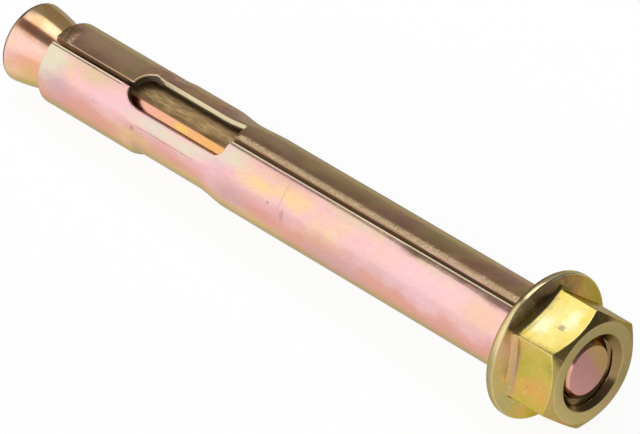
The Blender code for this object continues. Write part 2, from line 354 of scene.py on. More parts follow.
def waist_offset(x, angle):
    """How far the sleeve stands out of its round form at this place."""
    crease = CREASE_RISE * crease_reach(x) - NECK_DEPTH * bump(x - NECK_POSITION, NECK_LENGTH / 2)
    panel = -PANEL_DEPTH * stretch(x, WAIST_START, WAIST_LENGTH, WAIST_MOUTH_RAMP, WAIST_NUT_RAMP)
    across = 2 * ((angle - CREASE_ANGLE) / PANEL_ANGLE % 1.0) - 1
    return panel + (crease - panel) * across * across


CREASE_GROOVE = 0.045 * MM
CREASE_GROOVE_WIDTH = 0.15 * MM
LINE_WIDTH = 0.09 * MM
SHOULDER_WIDTH = 0.95 * MM
SHOULDER_DROP = 0.13 * MM
WORKED_PLACE = 0.50 * MM
WORKED_WIDTH = 0.60 * MM
LIP_RIDGE = 0.20 * MM
WALL_LEAN = 0.27 * MM
LIP_CURL_START = 44 * MM
LIP_CURL_WIDTH = 0.24 * MM
LIP_CURL_WIDTH_AT_FLANGE = 0.85 * MM
LIP_CURL_DROP = 0.040 * MM
LIP_CURL_DROP_AT_FLANGE = 0.130 * MM
EASE_INTO_WINDOW = 1.5 * MM
EASE_OUT_OF_WINDOW = 0.5 * MM
BURR_LENGTH = 2.4 * MM
BURR_WIDTH = 3.4 * MM
BURR_LENGTH_FADE = 1.2 * MM
BURR_WIDTH_FADE = 1.5 * MM
WOBBLE = 0.010 * MM
WOBBLE_WAVE = 3.1 * MM
WOBBLE_LONG_WAVE = 9 * MM

# Strength and reach of the marks on the sleeve's lips and walls
# Painted shade lines: dark beside the lower lip's ridge and along the creases
RIDGE_SHADE_LINE = 0.55
CREASE_SHADE_LINE = 0.65
BARE_START = WINDOW_START + 1.8 * MM
BARE_FADE = 0.9 * MM
# The painted shade in the window's arch fades out over this length
ARCH_FADE = 0.5 * MM
# Painted shade on the upper lip's rounded edge beside the seam, full at the mouth and weaker along the main
# seam
MAIN_SEAM_SHADE = 0.7
INNER_SHADE = 0.6
# Painted shade on the window's upper wall: its top row is kept clear and its foot is dark
WALL_TOP_CLEAR = 1.7
WALL_FOOT_SHADE = 2.4


def lip_distances(x, s):
    """Distances round the strip from its lower lip and from its upper lip."""
    from_lower = s - np.interp(x, *lip_path(1).T)
    from_upper = np.interp(x, *lip_path(-1).T) + 2 * pi * SLEEVE_RADIUS - s
    return from_lower, from_upper


def away_from_window(x):
    """1 beside the seam and 0 beside the window."""
    return smooth((WINDOW_START - x) / EASE_INTO_WINDOW) + smooth((x - WINDOW_END) / EASE_OUT_OF_WINDOW)


def crease_reach(x):
    """1 along the creases of the waist, easing to 0 at their ends."""
    return stretch(x, CREASE_START, CREASE_LENGTH, CREASE_RAMP, CREASE_RAMP)


def surface_detail(x, s):
    """Small forms of the sleeve's outer face: creases, worked lips and slight unevenness."""
    angle = s / SLEEVE_RADIUS
    from_lower, from_upper = lip_distances(x, s)
    rise = -CREASE_GROOVE * crease_reach(x) * sum(bump(s - crease, CREASE_GROOVE_WIDTH) for crease in CREASES)
    beside_seam = away_from_window(x)
    main_seam = beside_seam * (x > WINDOW_START)
    shoulder = smooth(1 - from_upper / SHOULDER_WIDTH)
    rise -= SHOULDER_DROP * shoulder * main_seam
    growth = smooth((x - LIP_CURL_START) / (SLEEVE_LENGTH - LIP_CURL_START))
    width = LIP_CURL_WIDTH + (LIP_CURL_WIDTH_AT_FLANGE - LIP_CURL_WIDTH) * growth
    drop = LIP_CURL_DROP + (LIP_CURL_DROP_AT_FLANGE - LIP_CURL_DROP) * growth
    curl = np.clip(1 - (from_lower - LIP_RIDGE) / width, 0.0, 1.0) ** 1.4
    curl *= smooth((from_lower - EDGE_RADIUS / 2) / (LIP_RIDGE - EDGE_RADIUS / 2))
    rise -= drop * curl * beside_seam
    rise += WOBBLE * np.sin(x / WOBBLE_WAVE + 2 * np.cos(angle)) * np.cos(2 * angle + x / WOBBLE_LONG_WAVE)
    return rise


def lip_marks(x, s):
    """Marks on the strip's face: the worked band, the burr, painted shade lines beside the lower lip and
    along the creases, and a painted highlight on the lower lip's ridge.
    """
    from_lower, from_upper = lip_distances(x, s)
    beside_seam = away_from_window(x)
    worked = bump(from_upper - WORKED_PLACE, WORKED_WIDTH) * beside_seam * (x > WINDOW_START)
    burr = smooth((BURR_LENGTH - x) / BURR_LENGTH_FADE) * smooth((BURR_WIDTH - from_upper) / BURR_WIDTH_FADE)
    # A painted highlight along the lower lip's ridge
    ridge_highlight = bump(from_lower - LIP_RIDGE / 2, LIP_RIDGE * 0.7) * beside_seam
    # Painted shade lines beside the lower lip's ridge and along the creases
    line = RIDGE_SHADE_LINE * bump(from_lower - LIP_RIDGE - LINE_WIDTH / 2, LINE_WIDTH) * beside_seam
    line += CREASE_SHADE_LINE * crease_reach(x) * sum(bump(s - crease, LINE_WIDTH) for crease in CREASES)
    return worked, burr, line, ridge_highlight


def edge_marks(outline):
    """Marks on the strip's edge: bare cut metal painted pale as a highlight, and painted shade, on its wall
    and rounding, and painted shade lines on its wall.
    """
    x, s = outline.T
    is_upper = s > pi * SLEEVE_RADIUS
    in_window = 1 - away_from_window(x)
    at_end = np.minimum(x, SLEEVE_LENGTH - x) < EDGE_RADIUS
    straight = in_window * smooth((x - BARE_START) / BARE_FADE)
    # The window's upper wall and the rounded edges, mostly the lower lip's, are bare cut metal painted pale
    # as a highlight
    bare_and_lit_wall = np.where(at_end, 0.5, is_upper * straight)
    # Painted shade on all other walls
    shaded_wall = np.where(at_end, 0.0, 1 - bare_and_lit_wall)
    bare_and_lit_edge = np.where(at_end, 0.5, np.where(is_upper, in_window, 1 - 0.5 * straight))
    # Painted shade on the upper lip's rounded edge beside the seam
    edge_shade = np.where(x < WINDOW_START, 1.0, MAIN_SEAM_SHADE)
    shaded_edge = np.where(at_end, 0.0, is_upper * (1 - in_window) * edge_shade)
    # Painted shade lines: dark in the window's arch and at the foot of its upper wall, whose top row is kept
    # clear
    arch_shade = in_window * smooth((BARE_START - x) / ARCH_FADE) * ~at_end
    wall_top_shade = arch_shade - WALL_TOP_CLEAR * is_upper * straight
    wall_foot_shade = arch_shade + WALL_FOOT_SHADE * is_upper * in_window
    return bare_and_lit_wall, shaded_wall, bare_and_lit_edge, shaded_edge, wall_top_shade, wall_foot_shade


def make_sleeve(material):
    """The rolled strip, as two skins joined round its rounded edge."""
    outline = strip_outline()
    normals = inward(outline)
    turns = np.linspace(0.0, pi / 2, EDGE_STEPS + 1)
    insets = EDGE_RADIUS * (1 - np.cos(turns))
    drops = EDGE_RADIUS * (1 - np.sin(turns))
    rings = [outline + normals * inset for inset in insets]
    grid, triangles = strip_fill(rings[-1], normals)

    def lay(flat, drop, is_outer):
        x = flat[:, 0]
        angle = flat[:, 1] / SLEEVE_RADIUS
        radius = SLEEVE_RADIUS + waist_offset(x, angle)
        if is_outer:
            radius = radius + surface_detail(x, flat[:, 1]) - drop
        else:
            radius = radius - SLEEVE_WALL + drop
        return on_axis(x, radius, angle)

    count = len(outline)
    lean = normals * (WALL_LEAN * (outline[:, 1:] > pi * SLEEVE_RADIUS))
    layers = [lay(ring - lean, drop, False) for ring, drop in zip(rings[::-1], drops[::-1])]
    layers.append(lay(outline, EDGE_RADIUS + EDGE_BAND, True))
    layers += [lay(ring, drop, True) for ring, drop in zip(rings, drops)]
    points = np.vstack(layers + [lay(grid, 0.0, False), lay(grid, 0.0, True)])
    faces = grid_faces(len(layers), count, close_columns=True)
    inner_grid = len(layers) * count
    outer_grid = inner_grid + len(grid)
    outer_ring = (len(layers) - 1) * count
    for triangle in triangles:
        faces.append([i if i < count else inner_grid + i - count for i in triangle[::-1]])
        faces.append([outer_ring + i if i < count else outer_grid + i - count for i in triangle])
    bare_and_lit_wall, shaded_wall, bare_and_lit_edge, shaded_edge, wall_top_shade, wall_foot_shade = edge_marks(outline)
    shares = np.linspace(1.0, 0.0, EDGE_STEPS + 1)
    none = np.zeros(len(grid))
    # cut: bare cut metal and painted highlights
    cut = [bare_and_lit_wall * share for share in shares[::-1]] + [bare_and_lit_wall]
    cut += [bare_and_lit_edge * share for share in shares]
    # shade: painted shade on the walls and on the upper lip's rounded edge beside the seam
    shade = [shaded_wall] * (EDGE_STEPS + 2) + [shaded_edge * share for share in shares]
    flat = np.vstack(rings[::-1] + [outline] + rings + [grid, grid])
    worked, burr, line, ridge_highlight = lip_marks(flat[:, 0], flat[:, 1])
    cut = np.maximum(np.concatenate(cut + [none, none]), ridge_highlight)
    shade = np.concatenate(shade + [none + INNER_SHADE, none])
    walls = (EDGE_STEPS + 2) * count
    # line on the walls: painted shade in the window's arch and at the foot of its upper wall
    line[:walls] = np.concatenate([wall_foot_shade] * (EDGE_STEPS + 1) + [wall_top_shade])
    make_piece("rolled_sleeve", points, faces, "sleeve", "expansion_sleeve", "sleeve_plating",
               material, cut=cut, shade=shade, worked=worked, burr=burr, line=line)


# Turned and threaded pieces
ROUND_STEPS = 96
FLARE_STEPS = 24
SHANK_ROWS = 60
POLE_RADIUS = 0.05 * MM
THREAD_RUNOUT = 1.6 * MM
THREAD_PHASES = (0.0, 0.045, 0.085, 0.16, 0.27, 0.355, 0.41, 0.5, 0.59, 0.645, 0.73, 0.84, 0.915, 0.955)


def thread_ridge(phase):
    """Height of a rolled thread from 0 at its root to 1 at its crest; the crest is at phase 0."""
    away = np.abs((phase + 0.5) % 1.0 - 0.5)
    return smooth((0.425 - away) / 0.37) * 0.4 + np.clip((0.4 - away) / 0.32, 0.0, 1.0) * 0.6


def thread_rings(start, end, radius_at):
    """Points of a helical face between two planes; radius_at(x, phase) gives its radius.

    Each row follows the helix, so that crests stay crisp. What would lie outside the two planes is
    drawn onto them, where points that meet are merged later.
    """
    turns = ceil((end - start) / THREAD_PITCH) + 1
    phases = np.array([[turn + phase] for turn in range(-1, turns) for phase in THREAD_PHASES])
    round_share = np.arange(ROUND_STEPS + 1) / ROUND_STEPS
    clamped = np.clip(start + THREAD_PITCH * (phases + round_share), start, end)
    points = on_axis(clamped, radius_at(clamped, phases), -2 * pi * round_share)
    faces = grid_faces(len(phases), ROUND_STEPS + 1)
    return points.reshape(-1, 3), faces


def turned_rings(profile):
    """Points and faces of a turned skin from an (x, r) outline."""
    angles = -2 * pi * np.arange(ROUND_STEPS) / ROUND_STEPS
    points = np.concatenate([on_axis(x, r, angles) for x, r in profile])
    return points, grid_faces(len(profile), ROUND_STEPS, close_columns=True)


def join_parts(parts):
    """One list of points and one of faces from several."""
    points = []
    faces = []
    for part_points, part_faces in parts:
        offset = sum(len(other) for other in points)
        faces += [tuple(i + offset for i in face) for face in part_faces]
        points.append(part_points)
    return np.concatenate(points), faces


def bolt_thread_radius(x, phase):
    """Radius of the bolt's thread, which rises out of the shank and is chamfered at its end."""
    full = THREAD_ROOT_RADIUS + (THREAD_CREST_RADIUS - THREAD_ROOT_RADIUS) * thread_ridge(phase)
    grown = SHANK_RADIUS + (full - SHANK_RADIUS) * smooth((x - THREAD_START) / THREAD_RUNOUT)
    chamfer = THREAD_CREST_RADIUS - THREAD_END_CHAMFER + (BOLT_END - x)
    return np.minimum(grown, chamfer)


def make_bolt(material):
    """Flared cone, shank and helical thread."""
    profile = [(CONE_END, POLE_RADIUS), (CONE_END, CONE_RADIUS / 2)]
    rim_centre = (CONE_END + CONE_END_RADIUS, CONE_RADIUS - CONE_END_RADIUS)
    profile += arc(rim_centre, CONE_END_RADIUS, pi, pi / 2 - CONE_END_ANGLE)
    flare_x, flare_radius = profile[-1]
    first_slope = tan(CONE_END_ANGLE)
    added_slope = tan(CONE_HALF_ANGLE) - first_slope
    for share in np.linspace(0.0, 1.0, FLARE_STEPS + 1)[1:]:
        drop = CONE_FLARE_LENGTH * (first_slope * share + added_slope * share * share / 2)
        profile.append((flare_x + CONE_FLARE_LENGTH * share, flare_radius - drop))
    taper_x, taper_radius = profile[-1]
    taper_end = taper_x + (taper_radius - SHANK_RADIUS) / tan(CONE_HALF_ANGLE)
    profile += [(x, SHANK_RADIUS) for x in np.linspace(taper_end, THREAD_START, SHANK_ROWS)]
    edge = THREAD_CREST_RADIUS - THREAD_END_CHAMFER
    cap = [(BOLT_END, edge), (BOLT_END, edge / 2), (BOLT_END, POLE_RADIUS)]
    points, faces = join_parts([
        turned_rings(profile), thread_rings(THREAD_START, BOLT_END, bolt_thread_radius), turned_rings(cap)])
    faces.append(tuple(range(ROUND_STEPS)))
    faces.append(tuple(range(len(points) - ROUND_STEPS, len(points))))
    make_piece("threaded_bolt", points, faces, "bolt", "cone_bolt", "bolt_plating", material)


CORNER_STEPS = 6
FLAT_STEPS = 12
SLOPE_ROW = 0.1 * MM
# Painted highlight on the hex corners, from this height up
CORNER_HIGHLIGHT = 0.7
CORNER_HIGHLIGHT_START = 2.2 * MM
CHAMFER_EDGE_ROWS = slice(-13, -9)
CHAMFER_EDGE_HIGHLIGHT = (0.2, 0.7, 0.7, 0.2)
CHAMFER_ROWS = slice(-10, -8)
NUT_THREAD_PHASE = (NUT_THREAD_START - THREAD_START) / THREAD_PITCH + 0.5


def hex_columns():
    """Angles round the nut, crowded at its rounded corners, with the radius and corner share of each."""
    sixth = pi / 6
    centre = (NUT_RADIUS - NUT_CORNER_RADIUS) / cos(sixth)
    tangent = atan2(NUT_CORNER_RADIUS * sin(sixth), centre + NUT_CORNER_RADIUS * cos(sixth))
    columns = []
    for corner in range(6):
        middle = NUT_CORNER_ANGLE + corner * 2 * sixth
        for turn in np.linspace(-tangent, tangent, CORNER_STEPS + 1):
            across = centre * sin(turn)
            side = centre * cos(turn) + sqrt(NUT_CORNER_RADIUS**2 - across**2)
            columns.append((middle + turn, side, 1 - abs(turn) / tangent))
        for turn in np.linspace(tangent, 2 * sixth - tangent, FLAT_STEPS + 1)[1:-1]:
            columns.append((middle + turn, NUT_RADIUS / cos(turn - sixth), 0.0))
    return columns


def rounded(points, radius, steps=3):
    """An open outline whose inner corners are replaced by arcs of up to this radius."""
    result = [points[0]]
    for outline in zip(points, points[1:], points[2:]):
        before, corner, after = map(Vector, outline)
        back = before - corner
        ahead = after - corner
        half = back.angle(ahead) / 2
        cut = min(radius / tan(half), back.length * 0.45, ahead.length * 0.45)
        start = corner + back.normalized() * cut
        end = corner + ahead.normalized() * cut
        for share in np.linspace(0.0, 1.0, steps + 1):
            result.append(tuple(start.lerp(corner, share).lerp(corner.lerp(end, share), share)))
    result.append(points[-1])
    return result


def nut_profile(side):
    """(x, r) outline of the nut from the bearing countersink round to the end countersink."""
    bore = NUT_THREAD_MAJOR_RADIUS
    slope_radius = FLANGE_RADIUS - FLANGE_TOP_RADIUS * (1 - sin(FLANGE_SLOPE))
    slope_start = FLANGE_TOP - FLANGE_TOP_RADIUS * (1 - cos(FLANGE_SLOPE))
    fillet = FLANGE_FILLET_RADIUS
    fillet_radius = side + fillet
    fillet_x = slope_start + (slope_radius - fillet_radius) * tan(FLANGE_SLOPE)
    fillet_x += fillet / cos(FLANGE_SLOPE)
    sink_x = NUT_THREAD_START - BEARING_COUNTERSINK_RADIUS + bore
    profile = [(NUT_THREAD_START, bore), (sink_x, BEARING_COUNTERSINK_RADIUS),
               (BEARING_FACE, BEARING_DISH_RADIUS)]
    profile += arc((BEARING_FACE + FLANGE_UNDER_RADIUS, FLANGE_RADIUS - FLANGE_UNDER_RADIUS),
                   FLANGE_UNDER_RADIUS, pi, pi / 2)
    profile += arc((FLANGE_TOP - FLANGE_TOP_RADIUS, FLANGE_RADIUS - FLANGE_TOP_RADIUS),
                   FLANGE_TOP_RADIUS, pi / 2, FLANGE_SLOPE, 4)
    profile.append((slope_start + SLOPE_ROW * tan(FLANGE_SLOPE), slope_radius - SLOPE_ROW))
    profile += arc((fillet_x, fillet_radius), fillet, pi + FLANGE_SLOPE, 3 * pi / 2, 8)
    chamfer_x = NUT_END - (side - NUT_FACE_RADIUS) * tan(NUT_CHAMFER_ANGLE)
    sink = COUNTERSINK_RADIUS - bore
    top = [profile[-1], (chamfer_x, side), (NUT_END, NUT_FACE_RADIUS), (NUT_END, COUNTERSINK_RADIUS),
           (NUT_END - sink, bore)]
    return profile[:-1] + rounded(top, NUT_EDGE_RADIUS)


def nut_marks(profile, corner_share):
    """Painted highlight along one column of the nut, 1 on its rounded edges, and 1 on its chamfer."""
    x, r = np.array(profile).T
    on_corner = smooth((x - BEARING_FACE - CORNER_HIGHLIGHT_START) / MM) * (r > NUT_FACE_RADIUS)
    wear = CORNER_HIGHLIGHT * corner_share * on_corner
    wear[CHAMFER_EDGE_ROWS] = np.maximum(wear[CHAMFER_EDGE_ROWS], CHAMFER_EDGE_HIGHLIGHT)
    # Painted highlight on the flange's rounded top edge
    wear[np.hypot(x - FLANGE_TOP, r - FLANGE_RADIUS) < FLANGE_TOP_RADIUS] = 1.0
    chamfer = np.zeros(len(x))
    chamfer[CHAMFER_ROWS] = 1.0
    return np.stack([wear, chamfer])


def nut_thread_radius(x, phase):
    """Radius of the nut's thread, in step with the bolt's and cut back by a countersink at each end."""
    depth = NUT_THREAD_MAJOR_RADIUS - NUT_THREAD_MINOR_RADIUS
    full = NUT_THREAD_MAJOR_RADIUS - depth * thread_ridge(phase + NUT_THREAD_PHASE)
    from_end = np.minimum(x - NUT_THREAD_START, NUT_THREAD_END - x)
    return np.maximum(full, NUT_THREAD_MAJOR_RADIUS - np.maximum(from_end, 0.0))


def make_nut(material):
    """Hex nut with its flange, rounded edges and thread."""
    columns = hex_columns()
    skin = np.array([on_axis(*np.array(nut_profile(side)).T, angle) for angle, side, _ in columns])
    marks = np.hstack([nut_marks(nut_profile(side), share) for _, side, share in columns])
    rows = skin.shape[1]
    outer = (skin.reshape(-1, 3), grid_faces(len(columns), rows, close_rows=True))
    points, faces = join_parts([outer, thread_rings(NUT_THREAD_START, NUT_THREAD_END, nut_thread_radius)])
    wear, chamfer = np.pad(marks, ((0, 0), (0, len(points) - marks.shape[1])))
    make_piece("hex_flange_nut", points, faces, "nut", "flange_nut", "nut_plating",
               material, wear=wear, chamfer=chamfer)


# Node trees
SHADER = "Principled BSDF"


def set_inputs(node, inputs):
    """Links each named input of a node to a socket, or sets it to a value."""
    for key, value in inputs.items():
        if isinstance(value, bpy.types.NodeSocket):
            node.id_data.links.new(value, node.inputs[key])
        else:
            node.inputs[key].default_value = value


def add_node(kind, inputs, tree=None, **settings):
    """A shader node with these inputs and settings, in this tree or else in that of its sockets."""
    if tree is None:
        tree = next(value.id_data for value in inputs.values() if isinstance(value, bpy.types.NodeSocket))
    node = tree.nodes.new("ShaderNode" + kind)
    for key, value in settings.items():
        setattr(node, key, value)
    set_inputs(node, inputs)
    return node


def add_math(operation, first, second=0.0, third=0.0):
    """Output of a Math node."""
    return add_node("Math", {0: first, 1: second, 2: third}, operation=operation).outputs[0]


def multiply(first, second):
    """Product of two values."""
    return add_math("MULTIPLY", first, second)


def scale_add(value, factor, added):
    """A value times a factor, and another value added."""
    return add_math("MULTIPLY_ADD", value, factor, added)


def vector_math(operation, first, second=(0.0, 0.0, 0.0)):
    """Output of a Vector Math node: a vector, or the value of a length or a dot product."""
    node = add_node("VectorMath", {0: first, 1: second}, operation=operation)
    return node.outputs["Value" if operation in ("LENGTH", "DOT_PRODUCT") else "Vector"]


def split(vector):
    """X, Y and Z of a vector."""
    return add_node("SeparateXYZ", {0: vector}).outputs


def add_noise(vector, stretch, size, detail=3.0, roughness=0.5, distortion=0.0):
    """Noise with blotches of about this size, stretched by this factor along X."""
    mapping = add_node("Mapping", {"Vector": vector, "Scale": (1 / stretch, 1.0, 1.0)})
    noise = add_node("TexNoise", {
        "Vector": mapping.outputs[0], "Scale": 1 / size, "Detail": detail,
        "Roughness": roughness, "Distortion": distortion})
    return noise.outputs["Fac"]


def add_bump(height, depth):
    """A Bump node with these heights, times a depth."""
    return add_node("Bump", {"Height": height, "Distance": depth})


def add_mark(tree, name):
    """Value of a mark that a mesh carries."""
    return add_node("Attribute", {}, tree, attribute_name=name).outputs["Fac"]


def add_ramp(factor, stops):
    """Colour ramp with (place, linear colour) stops."""
    ramp = add_node("ValToRGB", {"Fac": factor})
    elements = ramp.color_ramp.elements
    while len(elements) < len(stops):
        elements.new(0.5)
    for element, (place, colour) in zip(elements, stops):
        element.position = place
        element.color = (*colour, 1.0)
    return ramp.outputs["Color"]


def remap(value, low, high, new_low=0.0, new_high=1.0):
    """Value mapped from one range to another, clamped."""
    node = add_node("MapRange", {
        "Value": value, "From Min": low, "From Max": high, "To Min": new_low, "To Max": new_high})
    return node.outputs[0]


def blend(factor, under, over, mode="MIX"):
    """Colour that goes from one to the other with the factor; each is a socket or an (r, g, b)."""
    under, over = ((*colour, 1.0) if isinstance(colour, tuple) else colour for colour in (under, over))
    node = add_node("Mix", {0: factor, 6: under, 7: over}, data_type="RGBA", blend_type=mode)
    return node.outputs[2]


def add_layers(colour, layers):
    """A colour under layers, each (factor, colour), the last on top."""
    for factor, layer in layers:
        colour = blend(factor, colour, layer)
    return colour


# Plating
EDGE_TINT = (0.68, 0.69, 0.55)
# Pale cream of bare cut edges, also painted as the highlight on the lower lip's ridge and rounded edges
CUT_AND_HIGHLIGHT_COLOUR = (1.0, 0.90, 0.60)
# Dark brown of the painted shade lines on the sleeve, of the specks on its burr and of the line round the
# cone's rim
LINE_COLOUR = (0.11, 0.075, 0.05)
# Painted shade in the sleeve's seam and on the walls of its window
SEAM_SHADE_BROWN = (0.40, 0.25, 0.15)
# Pale tan of the rough worked band beside the upper lip, a painted highlight
WORKED_HIGHLIGHT_TAN = (1.0, 0.79, 0.46)
BURR_BROWN = (0.37, 0.23, 0.14)
# Painted shade on the upper half beside the seam
LIP_SHADE_BROWN = (0.36, 0.18, 0.09)
WAVER = 0.45
WAVER_SIZE = 2.2 * MM
PATCH_EDGE = 1.35
PATCH_CORE = 0.35
SMEAR_SIZE = 1.6 * MM
GRAIN_SIZE = 0.12 * MM
GRAIN_DEPTH = 0.004 * MM


def unrolled(place, radius):
    """Places along the axis and round it, the latter measured on this radius from straight up."""
    x, y, z = split(place)
    angle = add_math("ARCTAN2", multiply(y, -1.0), z)
    return add_node("CombineXYZ", {"X": x, "Y": multiply(angle, radius)}).outputs[0]


def add_waver(place, stretch, size):
    """Noise between minus and plus WAVER, which makes the edges of films uneven."""
    noise = add_noise(place, stretch, size, 4.0, 0.6)
    return remap(noise, 0.25, 0.75, -WAVER, WAVER)


def add_patches(colour, flat, waver, radius, patches):
    """Soft patches of film, each (x mm, degrees round, half length mm, half width mm, strength, colour)."""
    for x, angle, half_length, half_width, strength, film in patches:
        away = vector_math("SUBTRACT", flat, (x * MM, radians(angle) * radius, 0.0))
        shares = vector_math("DIVIDE", away, (half_length * MM, half_width * MM, 1.0))
        reach = add_math("ADD", vector_math("LENGTH", shares), waver)
        colour = blend(remap(reach, PATCH_EDGE, PATCH_CORE, 0.0, strength), colour, film)
    return colour


def start_plating(name, tint):
    """Material and node tree of one plated piece, with coordinates in the frame of the axis."""
    material = bpy.data.materials.new(name)
    material.use_nodes = True
    tree = material.node_tree
    set_inputs(tree.nodes[SHADER], {"Metallic": 1.0, "Specular Tint": (*tint, 1.0)})
    mapping = add_node("Mapping", {
        "Vector": add_node("TexCoord", {}, tree).outputs["Object"],
        "Location": TO_AXIS.translation, "Rotation": TO_AXIS.to_euler()})
    return material, tree, mapping.outputs[0]


def film_clouds(place, size, stops):
    """Clouds of interference colours."""
    clouds = add_noise(place, 1.7, size, 3.0, 0.5, 0.5)
    mottle = add_noise(place, 1.5, size / 7, 4.0, 0.6)
    film = scale_add(mottle, 0.22, add_math("SUBTRACT", clouds, 0.11))
    return add_ramp(film, stops)


def add_smears(place, low, high):
    """Roughness between two values, in long smears."""
    return remap(add_noise(place, 2.5, SMEAR_SIZE, 4.0, 0.6), 0.3, 0.7, low, high)


def finish_plating(place, colour, roughness, **more):
    """Sets the shader's colour, roughness, fine grain and further inputs; returns shader and grain."""
    fine = add_noise(place, 6.0, GRAIN_SIZE, 4.0, 0.65)
    dusty = blend(1.0, colour, remap(fine, 0.30, 0.50, 0.90, 1.0), "MULTIPLY")
    grain = add_bump(fine, GRAIN_DEPTH)
    shader = place.id_data.nodes[SHADER]
    set_inputs(shader, {"Base Color": dusty, "Roughness": roughness, "Normal": grain.outputs[0], **more})
    return shader, grain


# Plating of the sleeve
SLEEVE_STOPS = [(0.18, (0.72, 0.66, 0.36)), (0.32, (0.95, 0.74, 0.42)), (0.42, (0.97, 0.62, 0.47)),
                (0.52, (0.97, 0.58, 0.55)), (0.66, (0.95, 0.56, 0.58)), (0.80, (0.76, 0.50, 0.56))]
# Darker films of the upper half, painted shade
SHADED_TOP_STOPS = [(0.27, (0.64, 0.53, 0.24)), (0.40, (0.76, 0.55, 0.26)), (0.51, (0.80, 0.48, 0.26)),
               (0.60, (0.66, 0.37, 0.26)), (0.74, (0.80, 0.46, 0.37))]
# Orange and olive on the underside, painted as the dimmer floor's reflection there
ORANGE_ZONE = (0.83, 0.40, 0.32)
OLIVE_ZONE = (0.66, 0.52, 0.24)
PALE_GREEN = (0.78, 0.76, 0.56)
FILM_YELLOW = (0.98, 0.72, 0.30)
FILM_PEACH = (0.97, 0.60, 0.40)
FILM_LILAC = (0.70, 0.46, 0.50)
FILM_OLIVE = (0.74, 0.62, 0.28)
FILM_PINK = (0.99, 0.61, 0.65)
FILM_GOLD = (0.86, 0.62, 0.30)
FILM_TAN = (0.92, 0.58, 0.40)
SMUDGE = (0.36, 0.26, 0.15)
# Painted shade in a band below the lower lip near the flange
LIP_SHADE_BAND = (0.22, 0.12, 0.09)
BURR_TINT = (0.50, 0.37, 0.27)
SLEEVE_PATCHES = [
    (1.2, 50, 2.4, 3.2, 0.85, PALE_GREEN), (8, 38, 3.6, 1.2, 0.6, FILM_OLIVE),
    (3.2, 80, 2, 2, 0.6, FILM_LILAC), (11.5, 60, 3.2, 1.6, 0.6, FILM_PINK),
    (21, 59, 7, 0.8, 0.75, PALE_GREEN), (30.5, 37, 2.8, 1.4, 0.8, PALE_GREEN),
    (35, 50, 3.4, 1.1, 0.75, FILM_YELLOW), (40.6, 45, 3.2, 1.2, 0.7, FILM_YELLOW),
    (37, 33, 6, 0.9, 0.6, FILM_PEACH), (49, 30, 5, 0.8, 0.3, PALE_GREEN),
    (56.5, 70, 6, 1.2, 0.5, FILM_LILAC), (63, 50, 12, 3, 0.85, FILM_PINK),
    (69.5, 52, 3, 1.6, 0.7, FILM_PEACH), (57.3, 25, 1.6, 0.6, 0.85, SMUDGE),
    (59.5, 27, 1.2, 0.5, 0.6, FILM_OLIVE), (6.6, -10, 5.5, 1.8, 0.6, FILM_TAN),
    (34, -20, 9, 1.6, 0.4, FILM_OLIVE), (15.4, 75, 0.35, 0.3, 0.8, SMUDGE),
    (37.1, 66, 0.16, 0.16, 0.8, SMUDGE), (38.8, 55, 0.15, 2.2, 0.22, SMUDGE),
    (39.4, 72, 0.3, 0.8, 0.4, SMUDGE), (63.5, 23.5, 10, 0.45, 0.95, LIP_SHADE_BAND),
    (71.5, 26, 4.5, 0.65, 0.9, LIP_SHADE_BAND), (24, 106, 9, 1.3, 0.7, FILM_GOLD),
    (16.5, 90, 3.2, 1.3, 0.6, FILM_GOLD), (27.6, 78, 2.6, 1.5, 0.6, FILM_PINK),
    (31.5, 88, 3, 1.5, 0.6, FILM_LILAC), (35.5, 106, 4.5, 1.1, 0.7, FILM_GOLD),
    (48, 96, 5, 1.4, 0.5, FILM_LILAC)]

# Distances round the sleeve, or along it, between which a film comes in
ORANGE_RANGE = (5.7 * MM, 7.6 * MM)
OLIVE_RANGE = (8.8 * MM, 10.4 * MM)
MOUTH_STEP_RANGE = (WINDOW_START - 1.3 * MM, WINDOW_START)
UPPER_RANGE = (1.9 * MM, 1.5 * MM)
BACK_RANGE = (-6.5 * MM, -4.0 * MM)
LIP_RANGE = (-2.0 * MM, 0.4 * MM)
MOUTH_RANGE = (13 * MM, 17 * MM)
SLEEVE_CLOUDS = 7.0 * MM
UPPER_CLOUDS = 4.5 * MM
ZONE_WAVER = 1.6 * MM
LIP_WAVER = 1.2 * MM
SPECK_SIZE = 0.22 * MM
STREAK_SIZE = 0.30 * MM
HAMMERED_SIZE = 0.30 * MM
HAMMERED_DEPTH = 0.16 * MM


